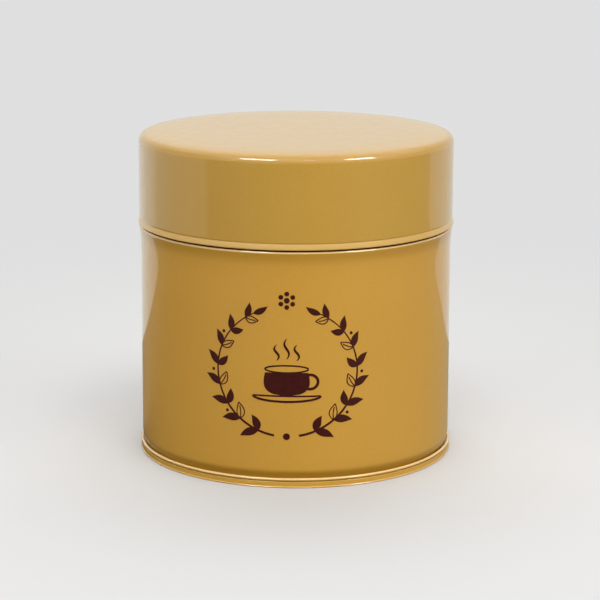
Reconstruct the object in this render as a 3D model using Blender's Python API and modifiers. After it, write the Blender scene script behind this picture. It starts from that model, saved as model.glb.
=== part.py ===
"""Round tin canister with a slip-on lid, standing on its seamed base.

The tin is shut, so its pieces are solid. All three are turned about +Z, and the origin is the centre of
the foot, on the surface that the tin stands on. A profile is a list of (radius, height) points, in
millimetres. It starts on the axis at the top, runs down the outer side and ends on the axis at the bottom.
"""

import math

import bmesh
import bpy

COLLECTION_NAME = "tin_canister"
METRES_PER_MILLIMETRE = 0.001

# Facets of a turned piece
SIDES = 96
MERGE_DISTANCE = 0.00001
SHARP_ANGLE = math.radians(35.0)

# Heights of the whole, in millimetres
TIN_HEIGHT = 87.5
SEAM_HEIGHT = 2.7
BODY_TOP = 62.45
LID_GAP = 0.45
CLEARANCE = 0.3

# Lid
LID_RADIUS = 42.5
LID_CROWN = 0.45
LID_CROWN_POWER = 10
LID_SHOULDER_RADIUS = 2.2
LID_BEAD_RADIUS = 42.9
LID_BEAD_HEIGHT = 1.6
LID_BEAD_ROUND = 0.35

# Neck of the body, which the lid slides over
NECK_RADIUS = 41.2
NECK_HEIGHT = 1.0

# Wall of the body: a flared rim above a slight waist, and a foot drawn in above the seam
WAIST_RADIUS = 42.05
FOOT_RADIUS = 42.2
RIM_FLARE = 0.5
RIM_FLARE_HEIGHT = 9.0
RIM_FLARE_POWER = 2.6
RIM_ROUND = 0.4
FOOT_DRAW = 0.6
FOOT_DRAW_HEIGHT = 4.0
FOOT_DRAW_POWER = 3.5

# Seamed base: a rolled bead, a thin groove under it, and a skirt that spreads to a lip
BASE_BEAD_ROUND = 0.38
BASE_GROOVE_RADIUS = 42.32
BASE_GROOVE_HEIGHT = 1.82
BASE_SKIRT_TOP_RADIUS = 42.45
BASE_SKIRT_TOP_HEIGHT = 1.65
BASE_LIP_RADIUS = 42.7
BASE_LIP_ROUND = 0.28
BASE_FOOT_WIDTH = 0.8
BASE_PANEL_TOP = 2.0
BASE_PANEL_THICKNESS = 0.3

# Surface finish: linear colour, roughness and metallic value of each lacquer
LID_COLOUR = (0.60, 0.33, 0.075, 1.0)
BODY_COLOUR = (0.58, 0.31, 0.065, 1.0)
BASE_COLOUR = (0.56, 0.30, 0.065, 1.0)
LACQUER_ROUGHNESS = 0.22
LACQUER_METALLIC = 0.0


def arc(centre_radius, centre_height, radius, start_degrees, end_degrees, segments):
    """Points on an arc in the profile's plane, where 0 degrees points outward and 90 degrees up."""
    points = []
    for step in range(segments + 1):
        angle = math.radians(start_degrees + (end_degrees - start_degrees) * step / segments)
        points.append((centre_radius + radius * math.cos(angle), centre_height + radius * math.sin(angle)))
    return points


def lid_crown(segments):
    """The top of the lid: flat over most of its width, and falling a little towards the shoulder."""
    shoulder_start = LID_RADIUS - LID_SHOULDER_RADIUS
    points = [(0.0, TIN_HEIGHT)]
    for step in range(segments):
        share = 0.7 + 0.3 * step / segments
        points.append((shoulder_start * share, TIN_HEIGHT - LID_CROWN * share ** LID_CROWN_POWER))
    return points


def lid_profile():
    """A crowned top, a rounded shoulder, a straight wall and a rolled bead, with a socket for the neck."""
    bottom = BODY_TOP + LID_GAP
    bead_top = bottom + LID_BEAD_HEIGHT
    socket_top = BODY_TOP + NECK_HEIGHT + CLEARANCE
    socket_radius = NECK_RADIUS + CLEARANCE

    profile = lid_crown(5)
    profile += arc(LID_RADIUS - LID_SHOULDER_RADIUS, TIN_HEIGHT - LID_CROWN - LID_SHOULDER_RADIUS,
                   LID_SHOULDER_RADIUS, 84.0, 0.0, 8)
    profile.append((LID_RADIUS, bead_top))
    profile += arc(LID_BEAD_RADIUS - LID_BEAD_ROUND, bottom + LID_BEAD_ROUND,
                   LID_BEAD_ROUND, 18.0, -90.0, 6)
    profile += [(socket_radius, bottom), (socket_radius, socket_top), (0.0, socket_top)]
    return profile


def rim_wall(segments):
    """The flared rim, from its widest point down to the waist."""
    waist_height = BODY_TOP - RIM_FLARE_HEIGHT
    widest_height = BODY_TOP - RIM_ROUND
    points = []
    for step in range(segments + 1):
        height = widest_height + (waist_height - widest_height) * step / segments
        share = (height - waist_height) / RIM_FLARE_HEIGHT
        points.append((WAIST_RADIUS + RIM_FLARE * share ** RIM_FLARE_POWER, height))
    return points


def foot_wall(segments):
    """The foot of the wall, drawn in towards the top of the seam."""
    start_height = SEAM_HEIGHT + FOOT_DRAW_HEIGHT
    points = []
    for step in range(segments + 1):
        share = step / segments
        height = start_height - FOOT_DRAW_HEIGHT * share
        points.append((FOOT_RADIUS - FOOT_DRAW * share ** FOOT_DRAW_POWER, height))
    return points


def body_profile():
    """A neck, a rounded rim, the wall and a plain bottom that sits in the base."""
    bottom = BASE_PANEL_TOP + CLEARANCE
    neck_top = BODY_TOP + NECK_HEIGHT
    rim = rim_wall(7)
    foot = foot_wall(5)
    widest_radius = rim[0][0]

    profile = [(0.0, neck_top), (NECK_RADIUS, neck_top), (NECK_RADIUS, BODY_TOP)]
    profile += arc(widest_radius - RIM_ROUND, BODY_TOP - RIM_ROUND, RIM_ROUND, 90.0, 15.0, 4)
    profile += rim
    profile += foot
    profile += [(foot[-1][0], bottom), (0.0, bottom)]
    return profile


def base_profile():
    """A tray whose rim is the seam, over a panel raised clear of the surface it stands on."""
    tray_radius = FOOT_RADIUS - FOOT_DRAW + CLEARANCE
    bead_centre = tray_radius + BASE_BEAD_ROUND
    foot_outer = BASE_LIP_RADIUS - BASE_LIP_ROUND
    foot_inner = foot_outer - BASE_FOOT_WIDTH
    panel_bottom = BASE_PANEL_TOP - BASE_PANEL_THICKNESS

    profile = [(0.0, BASE_PANEL_TOP), (tray_radius, BASE_PANEL_TOP)]
    profile += arc(bead_centre, SEAM_HEIGHT - BASE_BEAD_ROUND, BASE_BEAD_ROUND, 180.0, -45.0, 7)
    profile.append((BASE_GROOVE_RADIUS, BASE_GROOVE_HEIGHT))
    profile.append((BASE_SKIRT_TOP_RADIUS, BASE_SKIRT_TOP_HEIGHT))
    profile += arc(foot_outer, BASE_LIP_ROUND, BASE_LIP_ROUND, 0.0, -90.0, 4)
    profile += [(foot_inner, 0.0), (foot_inner, panel_bottom), (0.0, panel_bottom)]
    return profile


def lacquer(name, colour):
    """Glossy coloured lacquer on sheet metal."""
    material = bpy.data.materials.new(name)
    material.use_nodes = True
    shader = material.node_tree.nodes["Principled BSDF"]
    shader.inputs["Base Color"].default_value = colour
    shader.inputs["Roughness"].default_value = LACQUER_ROUGHNESS
    shader.inputs["Metallic"].default_value = LACQUER_METALLIC
    material.diffuse_color = colour
    return material


def turned(name, profile, material, collection):
    """Turn a profile about +Z into one closed solid and add it to the collection."""
    outline = bmesh.new()
    vertices = []
    for radius, height in profile:
        place = (radius * METRES_PER_MILLIMETRE, 0.0, height * METRES_PER_MILLIMETRE)
        vertices.append(outline.verts.new(place))
    for upper, lower in zip(vertices, vertices[1:]):
        outline.edges.new((upper, lower))
    mesh = bpy.data.meshes.new(name)
    outline.to_mesh(mesh)
    outline.free()

    piece = bpy.data.objects.new(name, mesh)
    collection.objects.link(piece)
    screw = piece.modifiers.new("turn", "SCREW")
    screw.axis = "Z"
    screw.angle = math.tau
    screw.steps = SIDES
    screw.render_steps = SIDES
    screw.use_merge_vertices = True
    screw.merge_threshold = MERGE_DISTANCE

    evaluated = piece.evaluated_get(bpy.context.evaluated_depsgraph_get())
    solid = bpy.data.meshes.new_from_object(evaluated)
    solid.name = name
    piece.modifiers.clear()
    piece.data = solid
    bpy.data.meshes.remove(mesh)
    solid.shade_smooth()
    solid.set_sharp_from_angle(angle=SHARP_ANGLE)
    solid.materials.clear()
    solid.materials.append(material)
    return piece


def main():
    for old in list(bpy.data.objects):
        bpy.data.objects.remove(old, do_unlink=True)
    collection = bpy.data.collections.new(COLLECTION_NAME)
    bpy.context.scene.collection.children.link(collection)

    turned("lid", lid_profile(), lacquer("lid_lacquer", LID_COLOUR), collection)
    turned("body", body_profile(), lacquer("body_lacquer", BODY_COLOUR), collection)
    turned("base", base_profile(), lacquer("base_lacquer", BASE_COLOUR), collection)


main()
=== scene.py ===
"""Looks of the tin canister: lacquered sheet metal with a printed front, in soft studio light."""

import math
from itertools import pairwise

import bmesh
import bpy
from mathutils import Matrix, Vector


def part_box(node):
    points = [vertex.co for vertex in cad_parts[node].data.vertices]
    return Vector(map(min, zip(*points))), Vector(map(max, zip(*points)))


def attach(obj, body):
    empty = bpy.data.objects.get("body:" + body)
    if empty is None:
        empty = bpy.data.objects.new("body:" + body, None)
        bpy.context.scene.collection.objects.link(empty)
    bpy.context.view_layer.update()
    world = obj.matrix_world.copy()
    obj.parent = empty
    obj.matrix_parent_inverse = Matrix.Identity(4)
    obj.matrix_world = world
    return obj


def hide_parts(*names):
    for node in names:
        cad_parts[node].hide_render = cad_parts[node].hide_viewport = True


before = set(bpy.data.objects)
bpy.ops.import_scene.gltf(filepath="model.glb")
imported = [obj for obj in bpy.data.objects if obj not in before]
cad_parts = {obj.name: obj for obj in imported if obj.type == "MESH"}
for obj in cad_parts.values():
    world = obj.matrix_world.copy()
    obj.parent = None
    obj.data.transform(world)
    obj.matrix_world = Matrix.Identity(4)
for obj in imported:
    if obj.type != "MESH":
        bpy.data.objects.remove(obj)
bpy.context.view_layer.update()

MM = 0.001

# Heights and widest radii that the frame gives
LID_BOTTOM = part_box("lid")[0].z
LID_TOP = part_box("lid")[1].z
LID_BEAD_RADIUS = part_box("lid")[1].x
BODY_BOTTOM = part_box("body")[0].z
NECK_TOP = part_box("body")[1].z
BASE_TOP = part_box("base")[1].z
BASE_LIP_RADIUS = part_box("base")[1].x

# Turned pieces
SIDES = 288
MERGE_DISTANCE = 0.000002
SHARP_ANGLE = math.radians(40.0)

# Lid. The crease above its bead is a list of points, in shares of the crease's depth and height.
LID_RADIUS = LID_BEAD_RADIUS - 0.4 * MM
LID_CROWN = 0.45 * MM
LID_CROWN_POWER = 10
LID_CROWN_STEPS = 30
LID_CROWN_FIRST_STEP = 4
LID_SHOULDER_RADIUS = 2.2 * MM
BEAD_ROUND = 0.24 * MM
BEAD_FACE_RADIUS = 10.8 * MM
BEAD_FACE_LOW = 17.0
BEAD_FACE_HIGH = 24.0
CREASE_DEPTH = 0.06 * MM
CREASE_HEIGHT = 0.3 * MM
CREASE = [(0.0, 0.0), (0.6, 0.25), (1.0, 0.55), (0.8, 0.85)]

# Body. Each arc of its rim, from the low side over the top, has a radius, two angles and segments.
BODY_TOP = LID_BOTTOM - 0.45 * MM
NECK_RADIUS = 41.2 * MM
NECK_GAP = 0.3 * MM
WAIST_RADIUS = 42.05 * MM
WAIST_HEIGHT = BODY_TOP - 9.0 * MM
RIM_FLARE = 0.57 * MM
RIM_FLARE_POWER = 2.9
RIM_HEIGHT = BODY_TOP - 0.47 * MM
RIM_ARCS = [(0.4 * MM, 8.0, 20.0, 3), (0.9 * MM, 20.0, 45.0, 8), (0.2 * MM, 45.0, 172.0, 12)]
RIM_GROOVE_DEPTH = 0.35 * MM
FOOT_RADIUS = 42.2 * MM
FOOT_DRAW = 0.6 * MM
FOOT_HEIGHT = BASE_TOP + 4.0 * MM
FOOT_DRAW_POWER = 3.5

# Lap seam up the back of the wall. Its edges sink a little into the wall.
LAP_TOP = RIM_HEIGHT - 0.15 * MM
LAP_FOOT = BASE_TOP - 0.1 * MM
LAP_WIDTH = 3.4 * MM
LAP_RISE = 0.14 * MM
LAP_EDGE = 0.2 * MM
LAP_EDGE_SHARE = 0.7
LAP_SINK = 0.02 * MM
LAP_DEPTH = 0.1 * MM
LAP_STATIONS = 60

# Base
BASE_BEAD_CLEARANCE = 0.26 * MM
BASE_BEAD_ROUND = 0.4 * MM
BASE_BEAD_DROP = 0.08 * MM
BASE_BEAD_SWEEP = (180.0, -50.0)
BASE_GROOVE_RADIUS = 42.2 * MM
BASE_GROOVE_HEIGHT = 1.76 * MM
BASE_GROOVE_WIDTH = 0.12 * MM
BASE_SKIRT_RADIUS = 42.46 * MM
BASE_SKIRT_TOP = 1.57 * MM
BASE_SKIRT_BEVEL = (0.06 * MM, 0.07 * MM)
BASE_SKIRT_SPREAD = 0.02 * MM
BASE_LIP_TOP = 0.42 * MM
BASE_LIP_ROUND = 0.14 * MM
BASE_LIP_HEIGHT = 0.21 * MM
BASE_LIP_SWEEP = (20.0, -60.0)
BASE_FOOT_RADIUS = 42.36 * MM
BASE_FOOT_WIDTH = 0.8 * MM
BASE_FOOT_BEVEL = (0.15 * MM, 0.25 * MM)
BASE_STEP_WIDTH = 0.2 * MM
BASE_PANEL_TOP = 2.0 * MM
BASE_PANEL_THICKNESS = 0.3 * MM
BASE_PANEL_BEVEL = 0.3 * MM
BASE_RING_RADIUS = 34.0 * MM
BASE_RING_WIDTH = 2.4 * MM
BASE_RING_DEPTH = 0.5 * MM
BASE_RING_STEPS = 12

# Print on the front. It is drawn in millimetres, across and up from its own centre, and each of its
# shapes rises a little more than the one before, so that no two lie at one height.
PRINT_ACROSS = -2.2
PRINT_HEIGHT = 31.0
PRINT_COLUMNS = 4
PRINT_RISE = 0.03 * MM
PRINT_RISE_SPAN = 0.02 * MM
PRINT_DEPTH = 0.06 * MM
LINE_WIDTH = 0.42
DOT_STEPS = 16
DOT_END_ANGLE = 4.0
RING_STEPS = 40

# Wreath: half its size, the angles of a branch, and its leaves and berries
WREATH_WIDE = 18.6
WREATH_HIGH = 17.2
WREATH_START = -80.0
WREATH_END = 62.0
WREATH_STEPS = 96
STEM_HALF_WIDTHS = (0.75 * LINE_WIDTH, 0.35 * LINE_WIDTH)
LEAF_PAIRS = 8
LEAF_PAIR_OFFSET = 0.75
LEAF_LENGTH = 5.4
LEAF_WIDTH = 2.2
LEAF_SHORTENING = 0.25
LEAF_NARROWING = 0.2
LEAF_STEPS = 14
LEAF_POWER = 0.8
LEAF_BEND = 0.07
LEAF_TIP_HALF_WIDTH = 0.04
VEIN_POINTS = 12
LEAF_LINE_WIDTH = 0.7 * LINE_WIDTH
OUTER_LEAF_ANGLE = -42.0
INNER_LEAF_ANGLE = 44.0
INNER_LEAF_SHARE = 0.85
LAST_LEAF_LENGTH = 0.8 * LEAF_LENGTH
LAST_LEAF_WIDTH = 0.75 * LEAF_WIDTH
BERRY_RADIUS = 0.42
BERRY_GAP = 1.3
BERRY_STEPS_BEHIND = 3
KNOT_RADIUS = 0.9

# Flower of dots at the wreath's open top
FLOWER_HEIGHT = WREATH_HIGH + 1.6
FLOWER_HEART_RADIUS = 0.75
FLOWER_PETALS = 6
FLOWER_PETAL_DISTANCE = 1.75
FLOWER_PETAL_RADIUS = 0.62

# Teacup. A wisp of steam has its place across, its low end and its height.
CUP_STEPS = 20
CUP_TOP = -0.2
CUP_DEPTH = 6.0
CUP_HALF_WIDTH = 5.6
CUP_POWER = 3.2
CUP_FOOT_HALF_WIDTH = 1.3
CUP_RIM_HEIGHT = 0.75
CUP_RIM_HALF_HEIGHT = 0.95
HANDLE_CENTRE = (6.0, -2.6)
HANDLE_HALF_SIZE = (2.1, 1.9)
HANDLE_ANGLES = (-125.0, 115.0)
HANDLE_LINE_WIDTH = 0.75
SAUCER_HEIGHT = -6.4
SAUCER_HALF_SIZE = (8.8, 1.5)
SAUCER_ANGLES = (-180.0, 0.0)
SAUCER_LINE_WIDTH = 0.6
SAUCER_EDGE_WIDTH = 0.45
STEAM_WISPS = [(-2.6, 3.0, 4.2), (0.0, 3.4, 5.4), (2.6, 3.0, 4.2)]
STEAM_STEPS = 24
STEAM_SWAY = 0.6
STEAM_HALF_WIDTHS = (0.08, 0.24)

# Ink: linear colours and the strength of the clear coat over it
INK_COLOUR = (0.042, 0.004, 0.003, 1.0)
INK_THIN_COLOUR = (0.054, 0.007, 0.005, 1.0)
INK_ROUGHNESS = 0.5
INK_VARNISH = 0.3

# Lacquer: linear colours, and how the clouds and the pigment grain move them
LID_COLOUR = (0.572, 0.325, 0.052)
BODY_COLOUR = (0.652, 0.343, 0.05)
BASE_COLOUR = (0.655, 0.355, 0.055)
CLOUD_SHIFT = (-0.02, -0.015, -0.004)
GRAIN_SHIFT = (0.042, 0.037, 0.018)
GRAIN_COVER = 0.45
LACQUER_ROUGHNESS = (0.34, 0.44)

# Painted light in the lacquer's colour, in bands by height: a paler colour along rolled edges is a
# painted highlight, and a deeper one in hollows, under the rim and at the foot is painted shade. A
# band has its middle height, half width, softness and strength.
PAINTED_HIGHLIGHT_COLOUR = (0.86, 0.58, 0.25, 1.0)
PAINTED_SHADE_COLOUR = (0.36, 0.18, 0.006, 1.0)
# Lid: a painted highlight on the bead's face, and painted shade round the shoulder
LID_PAINTED_HIGHLIGHT = [(LID_BOTTOM + 0.8 * MM, 0.7 * MM, 0.1 * MM, 0.17)]
LID_PAINTED_SHADE = [(LID_TOP - 1.2 * MM, 0.3 * MM, 0.7 * MM, 0.45)]
# Body: a painted highlight along the rim, a painted shadow under it, and painted shade at the foot
BODY_PAINTED_HIGHLIGHT = [(BODY_TOP - 0.22 * MM, 0.13 * MM, 0.08 * MM, 1.0)]
BODY_PAINTED_SHADE = [
    (BODY_TOP - 0.9 * MM, 0.3 * MM, 3.0 * MM, 0.38),
    (BASE_TOP, 0.7 * MM, 1.7 * MM, 0.9),
]
# Base: painted highlights on the bead and the lip, and painted shade in the groove
BASE_PAINTED_HIGHLIGHT = [
    (BASE_TOP - 0.3 * MM, 0.2 * MM, 0.08 * MM, 0.9),
    (0.2 * MM, 0.2 * MM, 0.1 * MM, 0.1),
]
BASE_PAINTED_SHADE = [(BASE_GROOVE_HEIGHT, 0.08 * MM, 0.06 * MM, 0.8)]

# Painted shade: a dark colour inside the joint between lid and body, without the top coat
JOINT_SHADE_RADIUS = 41.5 * MM
JOINT_SHADE_COLOUR = (0.05, 0.012, 0.003, 1.0)

# Clear top coat, with its orange peel
VARNISH_IOR = 1.5
VARNISH_ROUGHNESS = 0.03
UNDERCOAT_SPECULAR = 0.2
PEEL_STRENGTH = 0.25
PEEL_HEIGHT = 0.003 * MM

# Scale of each noise, in features for each metre, and its detail
CLOUD_NOISE = (45.0, 3.0)
GRAIN_NOISE = (2600.0, 2.0)
SHEEN_NOISE = (300.0, 3.0)
INK_NOISE = (900.0, 3.0)
PEEL_NOISE = (700.0, 2.0)
NOISE_SPAN = (0.3, 0.7)

# Camera
CAMERA_PLACE = Vector((0.00117, -0.5889, 0.17499))
CAMERA_PITCH = math.radians(12.873)
CAMERA_ROLL = math.radians(0.2)
CAMERA_SENSOR = 36.0
CAMERA_LENS = 132.15
CAMERA_CLIP = (0.01, 50.0)

# Floor and backdrop, which meet without a line. The floor fades between two distances from the tin.
FLOOR_RADIUS = 6.0
FLOOR_SIDES = 96
FLOOR_COLOUR = (0.66, 0.66, 0.655, 1.0)
BACKDROP_COLOUR = (0.74, 0.74, 0.74, 1.0)
FLOOR_FADE = (0.09, 0.32)

# Warm light that the floor sends back at the tin. A glow has its azimuth in degrees, the cosines
# between which it rises, its strength on either side of them, and its colour. Scattered light gets a
# share of it.
FLOOR_GLOWS = [
    (95.0, (-0.2, 0.8), (0.1, 0.4), (1.0, 0.87, 0.55, 1.0)),
    (-140.0, (0.7, 0.95), (0.0, 0.25), (1.0, 0.65, 0.35, 1.0)),
]
FLOOR_GLOW_SCATTERED = 0.18

# Room that lights the tin: its strength in front and behind, and the ceiling that the tin reflects.
# A span is in the directions' own Y or Z.
ROOM_SPAN = (-0.9, -0.2)
ROOM_STRENGTHS = (0.3, 0.6)
CEILING_SPAN = (0.25, 0.6)
CEILING_GLOW = 1.1

# Lamps: name, azimuth and elevation in degrees, width and height in metres, and power in watts
LAMP_DISTANCE = 1.0
REFLECTED_LAMPS = [
    ("left_softbox", -34.0, 50.0, 0.36, 0.2, 5.0),
    ("right_softbox", 55.5, 44.0, 0.32, 0.2, 5.0),
    ("small_softbox", 11.0, 47.0, 0.12, 0.1, 0.3),
]
FILL_LAMPS = [
    ("high_fill", 8.0, 62.0, 0.5, 0.4, 4.4),
    ("left_fill", -42.0, 12.0, 0.8, 0.5, 3.8),
    ("right_fill", 55.0, 10.0, 0.8, 0.5, 5.2),
    ("back_fill", 180.0, 55.0, 1.0, 0.8, 4.8),
]

# Pale cards that the tin reflects, and the points of each card's lower edge. A brightness has its value
# to the left and to the right of the blend.
CARD_BEHIND = 0.115
CARD_TOP = 0.25
CARD_LEFT = -0.245
CARD_RIGHT = 0.365
CARD_FRONT = -0.148
CARD_FADE = 0.03
CARD_COLOUR = (0.98, 1.0, 0.96, 1.0)
CARD_BLEND = (-0.13, -0.05)
BACK_CARD_BRIGHTNESS = (0.94, 0.76)
LEFT_CARD_BRIGHTNESS = (0.72, 0.72)
BACK_CARD_FOOT = [(0.1, 0.0), (0.15, 0.0035), (0.24, 0.0043), (0.27, 0.0)]
LEFT_CARD_FOOT = [(CARD_BEHIND, 0.0), (0.108, 0.016), (0.0, 0.016), (CARD_FRONT, 0.01)]


def arc(centre, radius, start_degrees, end_degrees, segments):
    """Points on an arc in a profile's plane, where 0 degrees points outward and 90 degrees up."""
    points = []
    for step in range(segments + 1):
        angle = math.radians(start_degrees + (end_degrees - start_degrees) * step / segments)
        points.append((centre[0] + radius * math.cos(angle), centre[1] + radius * math.sin(angle)))
    return points


def on_circle(centre, radius, degrees):
    """The point of a profile's circle at an angle."""
    return arc(centre, radius, degrees, degrees, segments=1)[0]


def joined_arcs(start, sweeps):
    """Arcs that follow each other smoothly from a point."""
    points = [start]
    for radius, start_degrees, end_degrees, segments in sweeps:
        reach = on_circle((0.0, 0.0), radius, start_degrees)
        centre = (points[-1][0] - reach[0], points[-1][1] - reach[1])
        points += arc(centre, radius, start_degrees, end_degrees, segments)[1:]
    return points


def line(start, end, segments):
    """Evenly spaced points from one profile point to another, with both."""
    points = []
    for step in range(segments):
        share = step / segments
        points.append((start[0] + (end[0] - start[0]) * share, start[1] + (end[1] - start[1]) * share))
    return [*points, end]


def heights(high, low, segments):
    """Evenly spaced heights from high to low."""
    return [high + (low - high) * step / segments for step in range(segments + 1)]


def lid_profile():
    """A barely crowned top, a rounded shoulder, the wall, a fine crease and a flared, rolled bead."""
    slope = LID_CROWN * LID_CROWN_POWER / LID_RADIUS
    shoulder_start = 90.0 - math.degrees(math.atan(slope))
    shoulder_centre = LID_RADIUS - LID_SHOULDER_RADIUS
    edge_radius = on_circle((shoulder_centre, 0.0), LID_SHOULDER_RADIUS, shoulder_start)[0]
    edge_rise = LID_SHOULDER_RADIUS * math.sin(math.radians(shoulder_start))
    profile = [(0.0, LID_TOP)]
    for step in range(LID_CROWN_FIRST_STEP, LID_CROWN_STEPS):
        share = step / LID_CROWN_STEPS
        profile.append((edge_radius * share, LID_TOP - LID_CROWN * share ** LID_CROWN_POWER))
    profile += arc((shoulder_centre, LID_TOP - LID_CROWN - edge_rise), LID_SHOULDER_RADIUS,
                   shoulder_start, 0.0, segments=28)

    roll_centre = (LID_BEAD_RADIUS - BEAD_ROUND, LID_BOTTOM + BEAD_ROUND)
    face_end = on_circle(roll_centre, BEAD_ROUND, BEAD_FACE_LOW)
    inward = on_circle((0.0, 0.0), BEAD_FACE_RADIUS, BEAD_FACE_LOW)
    face_centre = (face_end[0] - inward[0], face_end[1] - inward[1])
    face = arc(face_centre, BEAD_FACE_RADIUS, BEAD_FACE_HIGH, BEAD_FACE_LOW, segments=8)
    crease_top = face[0][1] + CREASE_HEIGHT
    profile += line(profile.pop(), (LID_RADIUS, crease_top + CREASE_HEIGHT / 2), segments=12)
    for depth, fall in CREASE:
        profile.append((LID_RADIUS - CREASE_DEPTH * depth, crease_top - CREASE_HEIGHT * fall))
    profile += face
    profile += arc(roll_centre, BEAD_ROUND, BEAD_FACE_LOW, -90.0, segments=8)[1:]

    socket_top = NECK_TOP + NECK_GAP
    socket_radius = NECK_RADIUS + NECK_GAP
    profile += [(socket_radius, LID_BOTTOM), (socket_radius, socket_top), (0.0, socket_top)]
    return profile


def wall_radius(height):
    """Outer radius of the body's wall: drawn in at the foot, slim at the waist and flared at the rim."""
    if height > WAIST_HEIGHT:
        share = (height - WAIST_HEIGHT) / (BODY_TOP - WAIST_HEIGHT)
        return WAIST_RADIUS + RIM_FLARE * share ** RIM_FLARE_POWER
    if height < FOOT_HEIGHT:
        share = min(1.0, (FOOT_HEIGHT - height) / (FOOT_HEIGHT - BASE_TOP))
        return FOOT_RADIUS - FOOT_DRAW * share ** FOOT_DRAW_POWER
    share = (height - FOOT_HEIGHT) / (WAIST_HEIGHT - FOOT_HEIGHT)
    return FOOT_RADIUS + (WAIST_RADIUS - FOOT_RADIUS) * share


def body_profile():
    """A neck under the lid, a groove, a rounded rim, the wall and a bottom that sits in the base."""
    profile = [(0.0, NECK_TOP), (NECK_RADIUS, NECK_TOP), (NECK_RADIUS, BODY_TOP - RIM_GROOVE_DEPTH)]
    profile += reversed(joined_arcs((wall_radius(RIM_HEIGHT), RIM_HEIGHT), RIM_ARCS))
    levels = heights(RIM_HEIGHT, WAIST_HEIGHT, segments=20)[1:]
    levels += heights(WAIST_HEIGHT, FOOT_HEIGHT, segments=24)[1:]
    levels += heights(FOOT_HEIGHT, BASE_TOP, segments=16)[1:]
    profile += [(wall_radius(level), level) for level in levels]
    profile += [(wall_radius(BASE_TOP), BODY_BOTTOM), (0.0, BODY_BOTTOM)]
    return profile


def base_profile():
    """A rolled bead, a thin groove, a skirt with a spread lip, and a recessed panel underneath."""
    tray_radius = wall_radius(BASE_TOP) + BASE_BEAD_CLEARANCE
    bead_centre = (tray_radius + BASE_BEAD_ROUND, BASE_TOP - BASE_BEAD_DROP - BASE_BEAD_ROUND)
    profile = [(0.0, BASE_PANEL_TOP), (tray_radius, BASE_PANEL_TOP)]
    profile += arc(bead_centre, BASE_BEAD_ROUND, *BASE_BEAD_SWEEP, segments=16)
    profile += [
        (BASE_GROOVE_RADIUS, BASE_GROOVE_HEIGHT + BASE_GROOVE_WIDTH / 2),
        (BASE_GROOVE_RADIUS, BASE_GROOVE_HEIGHT - BASE_GROOVE_WIDTH / 2),
        (BASE_SKIRT_RADIUS - BASE_SKIRT_BEVEL[0], BASE_SKIRT_TOP + BASE_SKIRT_BEVEL[1]),
    ]
    skirt_end = (BASE_SKIRT_RADIUS + BASE_SKIRT_SPREAD, BASE_LIP_TOP)
    profile += line((BASE_SKIRT_RADIUS, BASE_SKIRT_TOP), skirt_end, segments=6)
    lip_centre = (BASE_LIP_RADIUS - BASE_LIP_ROUND, BASE_LIP_HEIGHT)
    profile += arc(lip_centre, BASE_LIP_ROUND, *BASE_LIP_SWEEP, segments=6)

    foot_inner = BASE_FOOT_RADIUS - BASE_FOOT_WIDTH
    step_radius = foot_inner - BASE_STEP_WIDTH
    panel_bottom = BASE_PANEL_TOP - BASE_PANEL_THICKNESS
    profile += [
        (BASE_FOOT_RADIUS, 0.0),
        (foot_inner, 0.0),
        (foot_inner - BASE_FOOT_BEVEL[0], BASE_FOOT_BEVEL[1]),
        (step_radius, panel_bottom - BASE_PANEL_BEVEL),
        (step_radius - BASE_PANEL_BEVEL, panel_bottom),
    ]
    for step in range(BASE_RING_STEPS + 1):
        share = step / BASE_RING_STEPS
        dip = BASE_RING_DEPTH * (0.5 - 0.5 * math.cos(math.tau * share))
        profile.append((BASE_RING_RADIUS - BASE_RING_WIDTH * share, panel_bottom - dip))
    profile.append((0.0, panel_bottom))
    return profile


def new_piece(name, shape):
    """Put the shape in a bmesh into the scene, as an object of its own."""
    mesh = bpy.data.meshes.new(name)
    shape.to_mesh(mesh)
    shape.free()
    piece = bpy.data.objects.new(name, mesh)
    bpy.context.scene.collection.objects.link(piece)
    return piece


def turned(name, profile, material):
    """Turn a profile about +Z into one closed piece."""
    outline = bmesh.new()
    vertices = [outline.verts.new((radius, 0.0, height)) for radius, height in profile]
    for upper, lower in pairwise(vertices):
        outline.edges.new((upper, lower))
    piece = new_piece(name, outline)
    screw = piece.modifiers.new("turn", "SCREW")
    screw.axis = "Z"
    screw.angle = math.tau
    screw.steps = SIDES
    screw.render_steps = SIDES
    screw.use_merge_vertices = True
    screw.merge_threshold = MERGE_DISTANCE
    evaluated = piece.evaluated_get(bpy.context.evaluated_depsgraph_get())
    solid = bpy.data.meshes.new_from_object(evaluated)
    piece.modifiers.clear()
    sketch = piece.data
    piece.data = solid
    bpy.data.meshes.remove(sketch)
    solid.name = name
    solid.shade_smooth()
    solid.set_sharp_from_angle(angle=SHARP_ANGLE)
    solid.materials.clear()
    solid.materials.append(material)
    return piece


def on_wall(across, height, rise):
    """A place on the wall, from a distance round it from the front, a height and a rise above it."""
    angle = across / wall_radius(height)
    radius = wall_radius(height) + rise
    return (radius * math.sin(angle), -radius * math.cos(angle), height)


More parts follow.
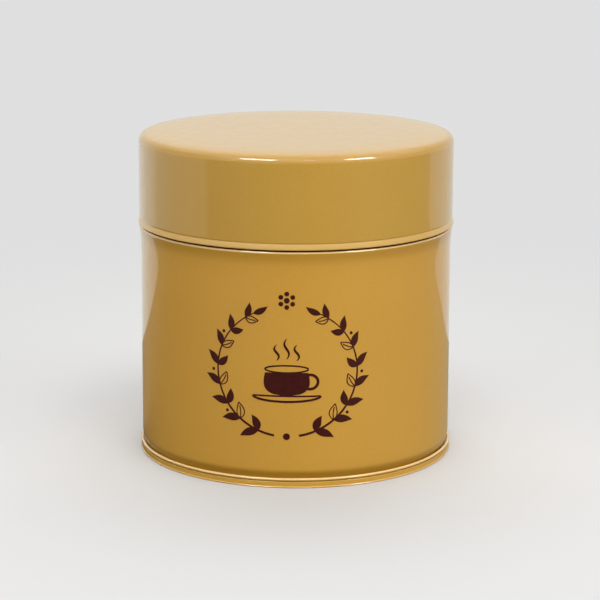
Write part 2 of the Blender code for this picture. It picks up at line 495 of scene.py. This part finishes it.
def add_shell(shells, stations, rises, depth):
    """Add a closed shell that follows the wall.

    A station is a row of (across, height) places, and rises has the height of the outer face above the
    wall at each place of a row. The inner face lies at depth below the wall.
    """
    outer = []
    inner = []
    for row in stations:
        outer.append([shells.verts.new(on_wall(*place, rise)) for place, rise in zip(row, rises)])
        inner.append([shells.verts.new(on_wall(*place, -depth)) for place in row])

    faces = []
    for near, far in pairwise(range(len(stations))):
        for left, right in pairwise(range(len(rises))):
            for rows in (outer, inner):
                faces.append((rows[near][left], rows[near][right], rows[far][right], rows[far][left]))
        for side in (0, -1):
            faces.append((outer[near][side], inner[near][side], inner[far][side], outer[far][side]))
    for end in (0, -1):
        for left, right in pairwise(range(len(rises))):
            faces.append((outer[end][left], inner[end][left], inner[end][right], outer[end][right]))
    for corners in faces:
        shells.faces.new(corners)


def shell_piece(name, shells, material):
    """Make one piece of the shells in a bmesh."""
    bmesh.ops.recalc_face_normals(shells, faces=shells.faces)
    piece = new_piece(name, shells)
    piece.data.shade_smooth()
    piece.data.set_sharp_from_angle(angle=SHARP_ANGLE)
    piece.data.materials.append(material)
    return piece


def lap_seam(material):
    """The low band up the back of the wall where the sheet overlaps itself."""
    half = LAP_WIDTH / 2
    edge = [
        (-half, -LAP_SINK),
        (-half + LAP_EDGE / 2, LAP_RISE * LAP_EDGE_SHARE),
        (-half + LAP_EDGE, LAP_RISE),
    ]
    section = [*edge, (0.0, LAP_RISE), *[(-offset, rise) for offset, rise in reversed(edge)]]
    stations = []
    for height in heights(LAP_TOP, LAP_FOOT, LAP_STATIONS):
        back = math.pi * wall_radius(height)
        stations.append([(back + offset, height) for offset, rise in section])
    seam = bmesh.new()
    add_shell(seam, stations, [rise for offset, rise in section], LAP_DEPTH)
    return shell_piece("lap_seam", seam, material)


def stroke(points, half_widths):
    """Rows of places across a line, from its points and its half width at each."""
    rows = []
    for index, point in enumerate(points):
        before = points[max(index - 1, 0)]
        after = points[min(index + 1, len(points) - 1)]
        along = Vector((after[0] - before[0], after[1] - before[1])).normalized()
        side = Vector((-along.y, along.x)) * half_widths[index]
        row = []
        for column in range(PRINT_COLUMNS + 1):
            share = 1 - 2 * column / PRINT_COLUMNS
            row.append((point[0] + side.x * share, point[1] + side.y * share))
        rows.append(row)
    return rows


def even_stroke(points, width=LINE_WIDTH):
    """A line of one width."""
    return stroke(points, [width / 2] * len(points))


def dot(centre, radius):
    """A filled round dot, with its two ends cut off just short of a point."""
    points = []
    half_widths = []
    for step in range(DOT_STEPS + 1):
        angle = math.radians(DOT_END_ANGLE + (180.0 - 2 * DOT_END_ANGLE) * step / DOT_STEPS)
        points.append((centre[0] - radius * math.cos(angle), centre[1]))
        half_widths.append(radius * math.sin(angle))
    return stroke(points, half_widths)


def ring(centre, half_size, degrees=(0.0, 360.0), width=LINE_WIDTH):
    """A line round all or part of an ellipse."""
    points = []
    for step in range(RING_STEPS + 1):
        angle = math.radians(degrees[0] + (degrees[1] - degrees[0]) * step / RING_STEPS)
        points.append((centre[0] + half_size[0] * math.cos(angle),
                       centre[1] + half_size[1] * math.sin(angle)))
    return even_stroke(points, width)


def leaf(root, degrees, length, width, filled=True):
    """A pointed leaf that grows from its root, filled or drawn in outline with a vein."""
    along = Vector((math.cos(math.radians(degrees)), math.sin(math.radians(degrees))))
    aside = Vector((-along.y, along.x))
    spine = []
    half_widths = []
    for step in range(LEAF_STEPS + 1):
        share = step / LEAF_STEPS
        bend = LEAF_BEND * length * math.sin(math.pi * share)
        spine.append(Vector(root) + along * (length * share) + aside * bend)
        half_width = width / 2 * math.sin(math.pi * share ** LEAF_POWER)
        half_widths.append(max(LEAF_TIP_HALF_WIDTH, half_width))
    if filled:
        return [stroke(spine, half_widths)]
    shapes = [even_stroke(spine[:VEIN_POINTS], LEAF_LINE_WIDTH)]
    for sign in (-1.0, 1.0):
        edge = [point + aside * (sign * half) for point, half in zip(spine, half_widths)]
        shapes.append(even_stroke(edge, LEAF_LINE_WIDTH))
    return shapes


def heading(start, end):
    """The direction from one place to another, in degrees."""
    return math.degrees(math.atan2(end.y - start.y, end.x - start.x))


def right_branch():
    """The right branch of the wreath: a stem with leaves in pairs and a few berries."""
    thick, thin = STEM_HALF_WIDTHS
    points = []
    half_widths = []
    for step in range(WREATH_STEPS + 1):
        share = step / WREATH_STEPS
        angle = math.radians(WREATH_START + (WREATH_END - WREATH_START) * share)
        points.append(Vector((WREATH_WIDE * math.cos(angle), WREATH_HIGH * math.sin(angle))))
        half_widths.append(thick + (thin - thick) * share)
    shapes = [stroke(points, half_widths)]
    for number in range(LEAF_PAIRS):
        share = (number + LEAF_PAIR_OFFSET) / LEAF_PAIRS
        index = round(share * (WREATH_STEPS - 2))
        degrees = heading(points[index], points[index + 1])
        length = LEAF_LENGTH * (1.0 - LEAF_SHORTENING * share)
        width = LEAF_WIDTH * (1.0 - LEAF_NARROWING * share)
        even = number % 2 == 0
        shapes += leaf(points[index], degrees + OUTER_LEAF_ANGLE, length, width)
        shapes += leaf(points[index], degrees + INNER_LEAF_ANGLE, length * INNER_LEAF_SHARE, width, even)
        if even and number > 0:
            behind = points[index - BERRY_STEPS_BEHIND]
            shapes.append(dot(behind + behind.normalized() * BERRY_GAP, BERRY_RADIUS))
    shapes += leaf(points[-1], heading(points[-3], points[-1]), LAST_LEAF_LENGTH, LAST_LEAF_WIDTH)
    return shapes


def mirrored(shapes):
    """The same shapes on the other side of the middle."""
    return [[[(-place[0], place[1]) for place in row] for row in rows] for rows in shapes]


def steam(across, low, height):
    """A wavy wisp, thickest halfway up."""
    points = []
    half_widths = []
    for step in range(STEAM_STEPS + 1):
        share = step / STEAM_STEPS
        points.append((across + STEAM_SWAY * math.sin(math.tau * share), low + height * share))
        half_widths.append(STEAM_HALF_WIDTHS[0] + STEAM_HALF_WIDTHS[1] * math.sin(math.pi * share))
    return stroke(points, half_widths)


def teacup():
    """A cup on a saucer with three wisps of steam, in the middle of the wreath."""
    bowl = []
    half_widths = []
    for step in range(CUP_STEPS + 1):
        share = step / CUP_STEPS
        bowl.append((0.0, CUP_TOP - CUP_DEPTH * share))
        rounded = CUP_HALF_WIDTH * math.sqrt(1 - share ** CUP_POWER)
        half_widths.append(rounded + CUP_FOOT_HALF_WIDTH * share)
    saucer_ends = [(side * SAUCER_HALF_SIZE[0], SAUCER_HEIGHT) for side in (-1.0, 1.0)]
    shapes = [stroke(bowl, half_widths)]
    shapes.append(ring((0.0, CUP_RIM_HEIGHT), (CUP_HALF_WIDTH, CUP_RIM_HALF_HEIGHT)))
    shapes.append(ring(HANDLE_CENTRE, HANDLE_HALF_SIZE, HANDLE_ANGLES, HANDLE_LINE_WIDTH))
    shapes.append(ring((0.0, SAUCER_HEIGHT), SAUCER_HALF_SIZE, SAUCER_ANGLES, SAUCER_LINE_WIDTH))
    shapes.append(even_stroke(line(*saucer_ends, segments=20), SAUCER_EDGE_WIDTH))
    shapes += [steam(*wisp) for wisp in STEAM_WISPS]
    return shapes


def flower(centre):
    """A dot in a ring of smaller dots."""
    shapes = [dot(centre, FLOWER_HEART_RADIUS)]
    for petal in range(FLOWER_PETALS):
        degrees = 360.0 * (petal + 0.5) / FLOWER_PETALS
        shapes.append(dot(on_circle(centre, FLOWER_PETAL_DISTANCE, degrees), FLOWER_PETAL_RADIUS))
    return shapes


def front_print(material):
    """A wreath of two branches round a teacup, with a small flower of dots at its open top."""
    branch = right_branch()
    shapes = branch + mirrored(branch) + teacup() + flower((0.0, FLOWER_HEIGHT))
    shapes.append(dot((0.0, -WREATH_HIGH), KNOT_RADIUS))

    drawing = bmesh.new()
    for number, rows in enumerate(shapes):
        rise = PRINT_RISE + PRINT_RISE_SPAN * number / len(shapes)
        stations = []
        for row in rows:
            stations.append([((PRINT_ACROSS + x) * MM, (PRINT_HEIGHT + y) * MM) for x, y in row])
        add_shell(drawing, stations, [rise] * (PRINT_COLUMNS + 1), PRINT_DEPTH)
    return shell_piece("front_print", drawing, material)


def add_node(tree, kind, **settings):
    """Add a shader node and set its properties."""
    node = tree.nodes.new(kind)
    for key, value in settings.items():
        setattr(node, key, value)
    return node


def feed(tree, value, socket):
    """Give a socket its value, which is a constant or another node's output."""
    if isinstance(value, bpy.types.NodeSocket):
        tree.links.new(value, socket)
    else:
        socket.default_value = value


def calculated(tree, operation, *values):
    """The result of a calculation with numbers."""
    node = add_node(tree, "ShaderNodeMath", operation=operation)
    for value, socket in zip(values, node.inputs):
        feed(tree, value, socket)
    return node.outputs["Value"]


def vector_calculated(tree, operation, output, *values):
    """The named result of a calculation with vectors."""
    node = add_node(tree, "ShaderNodeVectorMath", operation=operation)
    for value, socket in zip(values, node.inputs):
        feed(tree, value, socket)
    return node.outputs[output]


def ramp(tree, source, source_span, results, smooth=False):
    """A value carried from one span over to another, and held level outside it."""
    node = add_node(tree, "ShaderNodeMapRange", clamp=True)
    if smooth:
        node.interpolation_type = "SMOOTHSTEP"
    sockets = ("Value", "From Min", "From Max", "To Min", "To Max")
    for name, value in zip(sockets, (source, *source_span, *results)):
        feed(tree, value, node.inputs[name])
    return node.outputs["Result"]


def surface_place(tree):
    """Where a surface lies, in the piece's own coordinates."""
    return add_node(tree, "ShaderNodeTexCoord").outputs["Object"]


def parts(tree, vector):
    """A vector's X, Y and Z."""
    node = add_node(tree, "ShaderNodeSeparateXYZ")
    tree.links.new(vector, node.inputs["Vector"])
    return node.outputs


def noise(tree, scale, detail):
    """Noise that is fixed to the piece."""
    texture = add_node(tree, "ShaderNodeTexNoise")
    texture.inputs["Scale"].default_value = scale
    texture.inputs["Detail"].default_value = detail
    tree.links.new(surface_place(tree), texture.inputs["Vector"])
    return texture.outputs["Fac"]


def spread_noise(tree, kind, results):
    """Noise with its usual span carried over to another."""
    return ramp(tree, noise(tree, *kind), NOISE_SPAN, results)


def mixed(tree, factor, first, second):
    """Mix two colours."""
    mix = add_node(tree, "ShaderNodeMix", data_type="RGBA")
    tree.links.new(factor, mix.inputs["Factor"])
    for name, value in (("A", first), ("B", second)):
        socket = [entry for entry in mix.inputs if entry.name == name and entry.type == "RGBA"][0]
        feed(tree, value, socket)
    return [entry for entry in mix.outputs if entry.type == "RGBA"][0]


def mixed_shader(tree, factor, first, second):
    """Mix two shaders."""
    mix = add_node(tree, "ShaderNodeMixShader")
    for value, socket in zip((factor, first, second), mix.inputs):
        tree.links.new(value, socket)
    return mix.outputs["Shader"]


def emission(tree, colour, strength=1.0):
    """Light of one colour."""
    node = add_node(tree, "ShaderNodeEmission")
    node.inputs["Color"].default_value = colour
    feed(tree, strength, node.inputs["Strength"])
    return node.outputs["Emission"]


def band_mask(tree, bands):
    """Each band's strength at its own height, falling to 0 outside it."""
    height = parts(tree, surface_place(tree))["Z"]
    total = None
    for middle, half_width, softness, strength in bands:
        away = calculated(tree, "ABSOLUTE", calculated(tree, "SUBTRACT", height, middle))
        mask = ramp(tree, away, (half_width, half_width + softness), (strength, 0.0), smooth=True)
        total = mask if total is None else calculated(tree, "MAXIMUM", total, mask)
    return total


def inner_mask(tree, radius):
    """1 inside a radius from the tin's axis, and 0 outside it."""
    flat = vector_calculated(tree, "MULTIPLY", "Vector", surface_place(tree), (1.0, 1.0, 0.0))
    return calculated(tree, "LESS_THAN", vector_calculated(tree, "LENGTH", "Value", flat), radius)


def shifted(colour, shift):
    """A colour moved a little, channel by channel."""
    return (*[channel + step for channel, step in zip(colour, shift)], 1.0)


def add_varnish(tree, shader):
    """The clear glossy top coat, with a slight orange peel."""
    peel = add_node(tree, "ShaderNodeBump")
    peel.inputs["Strength"].default_value = PEEL_STRENGTH
    peel.inputs["Distance"].default_value = PEEL_HEIGHT
    tree.links.new(noise(tree, *PEEL_NOISE), peel.inputs["Height"])
    tree.links.new(peel.outputs["Normal"], shader.inputs["Normal"])
    tree.links.new(peel.outputs["Normal"], shader.inputs["Coat Normal"])

    shader.inputs["IOR"].default_value = VARNISH_IOR
    shader.inputs["Specular IOR Level"].default_value = UNDERCOAT_SPECULAR
    shader.inputs["Coat Weight"].default_value = 1.0
    shader.inputs["Coat IOR"].default_value = VARNISH_IOR
    shader.inputs["Coat Roughness"].default_value = VARNISH_ROUGHNESS


def lacquer(name, colour, thin, thick, joint_shade_radius=0.0):
    """Yellow lacquer: cloudy colour, fine pigment grain, painted highlight and shade, and a clear top
    coat.

    Inside the joint radius, if there is one, shade is painted in a dark colour, and there is no top coat.
    """
    material = bpy.data.materials.new(name)
    material.use_nodes = True
    tree = material.node_tree
    shader = tree.nodes["Principled BSDF"]
    add_varnish(tree, shader)

    clouds = spread_noise(tree, CLOUD_NOISE, (0.0, 1.0))
    cloudy = mixed(tree, clouds, shifted(colour, CLOUD_SHIFT), (*colour, 1.0))
    grain = spread_noise(tree, GRAIN_NOISE, (0.0, GRAIN_COVER))
    grained = mixed(tree, grain, cloudy, shifted(colour, GRAIN_SHIFT))
    # Painted shade in the thick bands, then painted highlights in the thin ones
    shade_painted = mixed(tree, band_mask(tree, thick), grained, PAINTED_SHADE_COLOUR)
    finished = mixed(tree, band_mask(tree, thin), shade_painted, PAINTED_HIGHLIGHT_COLOUR)
    # Painted shade inside the joint
    if joint_shade_radius:
        inside = inner_mask(tree, joint_shade_radius)
        finished = mixed(tree, inside, finished, JOINT_SHADE_COLOUR)
        tree.links.new(ramp(tree, inside, (0.0, 1.0), (1.0, 0.0)), shader.inputs["Coat Weight"])
    tree.links.new(finished, shader.inputs["Base Color"])
    sheen = spread_noise(tree, SHEEN_NOISE, LACQUER_ROUGHNESS)
    tree.links.new(sheen, shader.inputs["Roughness"])
    return material


def ink(name):
    """Dark printed ink under the same clear top coat, a little thinner in places."""
    material = bpy.data.materials.new(name)
    material.use_nodes = True
    tree = material.node_tree
    shader = tree.nodes["Principled BSDF"]
    add_varnish(tree, shader)
    shader.inputs["Coat Weight"].default_value = INK_VARNISH
    shader.inputs["Roughness"].default_value = INK_ROUGHNESS
    cover = spread_noise(tree, INK_NOISE, (0.0, 1.0))
    tree.links.new(mixed(tree, cover, INK_COLOUR, INK_THIN_COLOUR), shader.inputs["Base Color"])
    return material


def emptied_tree(owner):
    """The node tree of a material or a world, with nothing in it."""
    owner.use_nodes = True
    owner.node_tree.nodes.clear()
    return owner.node_tree


def direction_to(azimuth_degrees, elevation_degrees=0.0):
    """The way from the tin to an azimuth and an elevation. Azimuth 0 is in front, and 90 to the right."""
    azimuth = math.radians(azimuth_degrees)
    elevation = math.radians(elevation_degrees)
    return Vector((math.sin(azimuth) * math.cos(elevation),
                   -math.cos(azimuth) * math.cos(elevation),
                   math.sin(elevation)))


def floor_glow(tree, towards, share, azimuth_degrees, cosines, strengths, colour):
    """Light from the side of the floor that lies at an azimuth."""
    direction = direction_to(azimuth_degrees)
    facing = vector_calculated(tree, "DOT_PRODUCT", "Value", towards, direction)
    rise = ramp(tree, facing, cosines, strengths, smooth=True)
    return emission(tree, colour, calculated(tree, "MULTIPLY", rise, share))


def floor_material():
    """Matt pale floor that carries on evenly into the distance, and glows warmly towards the tin."""
    material = bpy.data.materials.new("pale_floor")
    tree = emptied_tree(material)
    rays = add_node(tree, "ShaderNodeLightPath").outputs
    spot = surface_place(tree)

    towards = vector_calculated(tree, "NORMALIZE", "Vector", spot)
    share = ramp(tree, rays["Is Diffuse Ray"], (0.0, 1.0), (1.0, FLOOR_GLOW_SCATTERED))
    bounced = add_node(tree, "ShaderNodeAddShader")
    for glow, socket in zip(FLOOR_GLOWS, bounced.inputs):
        tree.links.new(floor_glow(tree, towards, share, *glow), socket)

    near = add_node(tree, "ShaderNodeBsdfDiffuse")
    near.inputs["Color"].default_value = FLOOR_COLOUR
    distance = vector_calculated(tree, "LENGTH", "Value", spot)
    fade = ramp(tree, distance, FLOOR_FADE, (0.0, 1.0), smooth=True)
    seen = mixed_shader(tree, fade, near.outputs["BSDF"], emission(tree, BACKDROP_COLOUR))

    surface = mixed_shader(tree, rays["Is Camera Ray"], bounced.outputs["Shader"], seen)
    tree.links.new(surface, add_node(tree, "ShaderNodeOutputMaterial").inputs["Surface"])
    return material


def make_floor():
    """A wide round floor at the height of the foot."""
    disc = bmesh.new()
    bmesh.ops.create_circle(disc, cap_ends=True, segments=FLOOR_SIDES, radius=FLOOR_RADIUS)
    floor = new_piece("floor", disc)
    floor.data.materials.append(floor_material())


def make_world():
    """An even pale backdrop to the eye, and for light and reflections a room that is darker in front."""
    world = bpy.data.worlds.new("studio")
    bpy.context.scene.world = world
    tree = emptied_tree(world)
    rays = add_node(tree, "ShaderNodeLightPath").outputs
    direction = parts(tree, add_node(tree, "ShaderNodeTexCoord").outputs["Generated"])

    seen = add_node(tree, "ShaderNodeBackground")
    seen.inputs["Color"].default_value = BACKDROP_COLOUR
    walls = ramp(tree, direction["Y"], ROOM_SPAN, ROOM_STRENGTHS, smooth=True)
    overhead = ramp(tree, direction["Z"], CEILING_SPAN, (0.0, CEILING_GLOW), smooth=True)
    ceiling = calculated(tree, "MULTIPLY", overhead, rays["Is Glossy Ray"])
    room = add_node(tree, "ShaderNodeBackground")
    tree.links.new(calculated(tree, "ADD", walls, ceiling), room.inputs["Strength"])

    surface = mixed_shader(tree, rays["Is Camera Ray"], room.outputs["Background"],
                           seen.outputs["Background"])
    tree.links.new(surface, add_node(tree, "ShaderNodeOutputWorld").inputs["Surface"])


def make_lamp(name, azimuth_degrees, elevation_degrees, width, height, power, reflected):
    """A lamp aimed at the tin, which either shows as a reflection or lights it softly."""
    direction = direction_to(azimuth_degrees, elevation_degrees)
    light = bpy.data.lights.new(name, "AREA")
    light.shape = "RECTANGLE"
    light.size = width
    light.size_y = height
    light.energy = power
    lamp = bpy.data.objects.new(name, light)
    lamp.location = Vector((0.0, 0.0, LID_TOP / 2)) + direction * LAMP_DISTANCE
    lamp.rotation_euler = direction.to_track_quat("Z", "Y").to_euler()
    lamp.visible_camera = False
    lamp.visible_glossy = reflected
    lamp.visible_diffuse = not reflected
    bpy.context.scene.collection.objects.link(lamp)


def card_material(name, brightness):
    """Even pale light that blends from left to right, and fades out at the card's front edge."""
    material = bpy.data.materials.new(name)
    tree = emptied_tree(material)
    spot = parts(tree, surface_place(tree))
    strength = ramp(tree, spot["X"], CARD_BLEND, brightness, smooth=True)
    clear = add_node(tree, "ShaderNodeBsdfTransparent")
    fade = ramp(tree, spot["Y"], (CARD_FRONT, CARD_FRONT + CARD_FADE), (0.0, 1.0))
    surface = mixed_shader(tree, fade, clear.outputs["BSDF"], emission(tree, CARD_COLOUR, strength))
    tree.links.new(surface, add_node(tree, "ShaderNodeOutputMaterial").inputs["Surface"])
    return material


def make_card(name, corners, brightness):
    """A pale upright card that is seen only in the tin's reflections."""
    board = bmesh.new()
    board.faces.new([board.verts.new(corner) for corner in corners])
    card = new_piece(name, board)
    card.data.materials.append(card_material(name, brightness))
    card.visible_camera = False
    card.visible_diffuse = False
    card.visible_shadow = False


def make_cards():
    """A bright card close behind the tin, and one to its left."""
    outline = [(CARD_LEFT, 0.0), *BACK_CARD_FOOT, (CARD_RIGHT, 0.0)]
    outline += [(CARD_RIGHT, CARD_TOP), (CARD_LEFT, CARD_TOP)]
    make_card("back_card", [(x, CARD_BEHIND, z) for x, z in outline], BACK_CARD_BRIGHTNESS)
    outline = [*LEFT_CARD_FOOT, (CARD_FRONT, CARD_TOP), (CARD_BEHIND, CARD_TOP)]
    make_card("left_card", [(CARD_LEFT, y, z) for y, z in outline], LEFT_CARD_BRIGHTNESS)


def make_camera():
    """The photograph's viewpoint."""
    data = bpy.data.cameras.new("camera")
    data.lens = CAMERA_LENS
    data.sensor_width = CAMERA_SENSOR
    data.sensor_fit = "HORIZONTAL"
    data.clip_start, data.clip_end = CAMERA_CLIP
    camera = bpy.data.objects.new("camera", data)
    tilt = Matrix.Rotation(math.radians(90.0) - CAMERA_PITCH, 4, "X")
    roll = Matrix.Rotation(CAMERA_ROLL, 4, "Z")
    camera.matrix_world = Matrix.Translation(CAMERA_PLACE) @ tilt @ roll
    bpy.context.scene.collection.objects.link(camera)
    bpy.context.scene.camera = camera


def finish_piece(piece, node=None):
    """Let a piece ride on the tin, and hide the solid it stands for, if there is one."""
    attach(piece, "root")
    if node:
        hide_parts(node)


def main():
    lid_lacquer = lacquer("lid_lacquer", LID_COLOUR, LID_PAINTED_HIGHLIGHT, LID_PAINTED_SHADE)
    body_lacquer = lacquer("body_lacquer", BODY_COLOUR, BODY_PAINTED_HIGHLIGHT, BODY_PAINTED_SHADE, JOINT_SHADE_RADIUS)
    base_lacquer = lacquer("base_lacquer", BASE_COLOUR, BASE_PAINTED_HIGHLIGHT, BASE_PAINTED_SHADE)
    finish_piece(turned("tin_lid", lid_profile(), lid_lacquer), "lid")
    finish_piece(turned("tin_body", body_profile(), body_lacquer), "body")
    finish_piece(turned("tin_base", base_profile(), base_lacquer), "base")
    finish_piece(lap_seam(body_lacquer))
    finish_piece(front_print(ink("print_ink")))

    make_floor()
    make_cards()
    make_world()
    for lamp in REFLECTED_LAMPS:
        make_lamp(*lamp, reflected=True)
    for lamp in FILL_LAMPS:
        make_lamp(*lamp, reflected=False)
    make_camera()
    bpy.context.scene.view_settings.view_transform = "Standard"


main()
